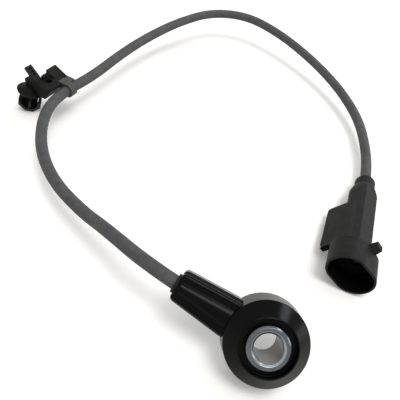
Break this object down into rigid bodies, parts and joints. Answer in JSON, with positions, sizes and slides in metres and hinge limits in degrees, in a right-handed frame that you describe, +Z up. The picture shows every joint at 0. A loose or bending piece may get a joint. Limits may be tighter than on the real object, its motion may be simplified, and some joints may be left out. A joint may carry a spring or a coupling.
{
  "type": "engine knock sensor",
  "caption": "Bolt-on engine knock sensor: a black moulded ring head on a steel sleeve, with a stiff lead, a push-in mounting tie and a sealed connector.",
  "frame": {"origin": "middle of the head and tail's box, on the surface that the sensor lies on", "axes": "+Z up from that surface; the tail points along -X; the connector's mouth faces -Y"},
  "size_m": [0.1697, 0.2079, 0.0246],
  "materials": {
    "black_moulding": "moulded, semi-matt",
    "zinc_steel": "turned and zinc plated",
    "spring_steel": "plain",
    "contact_brass": "stamped, tin plated",
    "piezo_ceramic": null,
    "insulating_film": "plain film",
    "core_insulation": "extruded",
    "seal_rubber": "matt",
    "cable_jacket": "extruded, satin",
    "tie_plastic": "moulded, satin"
  },
  "bodies": {
    "root": {"housing": "black_moulding", "core_sleeve": "zinc_steel", "lower_insulator": "insulating_film", "lower_contact": "contact_brass", "piezo_ring": "piezo_ceramic", "upper_contact": "contact_brass", "upper_insulator": "insulating_film", "seismic_mass": "zinc_steel", "disc_spring": "spring_steel", "clamp_nut": "zinc_steel", "signal_crimp": "contact_brass", "ground_crimp": "contact_brass", "signal_core": "core_insulation", "ground_core": "core_insulation", "cable_seal": "seal_rubber", "cable": "cable_jacket", "mounting_tie": "tie_plastic", "connector_shell": "black_moulding", "rear_seal": "seal_rubber", "signal_blade": "contact_brass", "ground_blade": "contact_brass", "signal_core_rear": "core_insulation", "ground_core_rear": "core_insulation"}
  },
  "joints": []
}
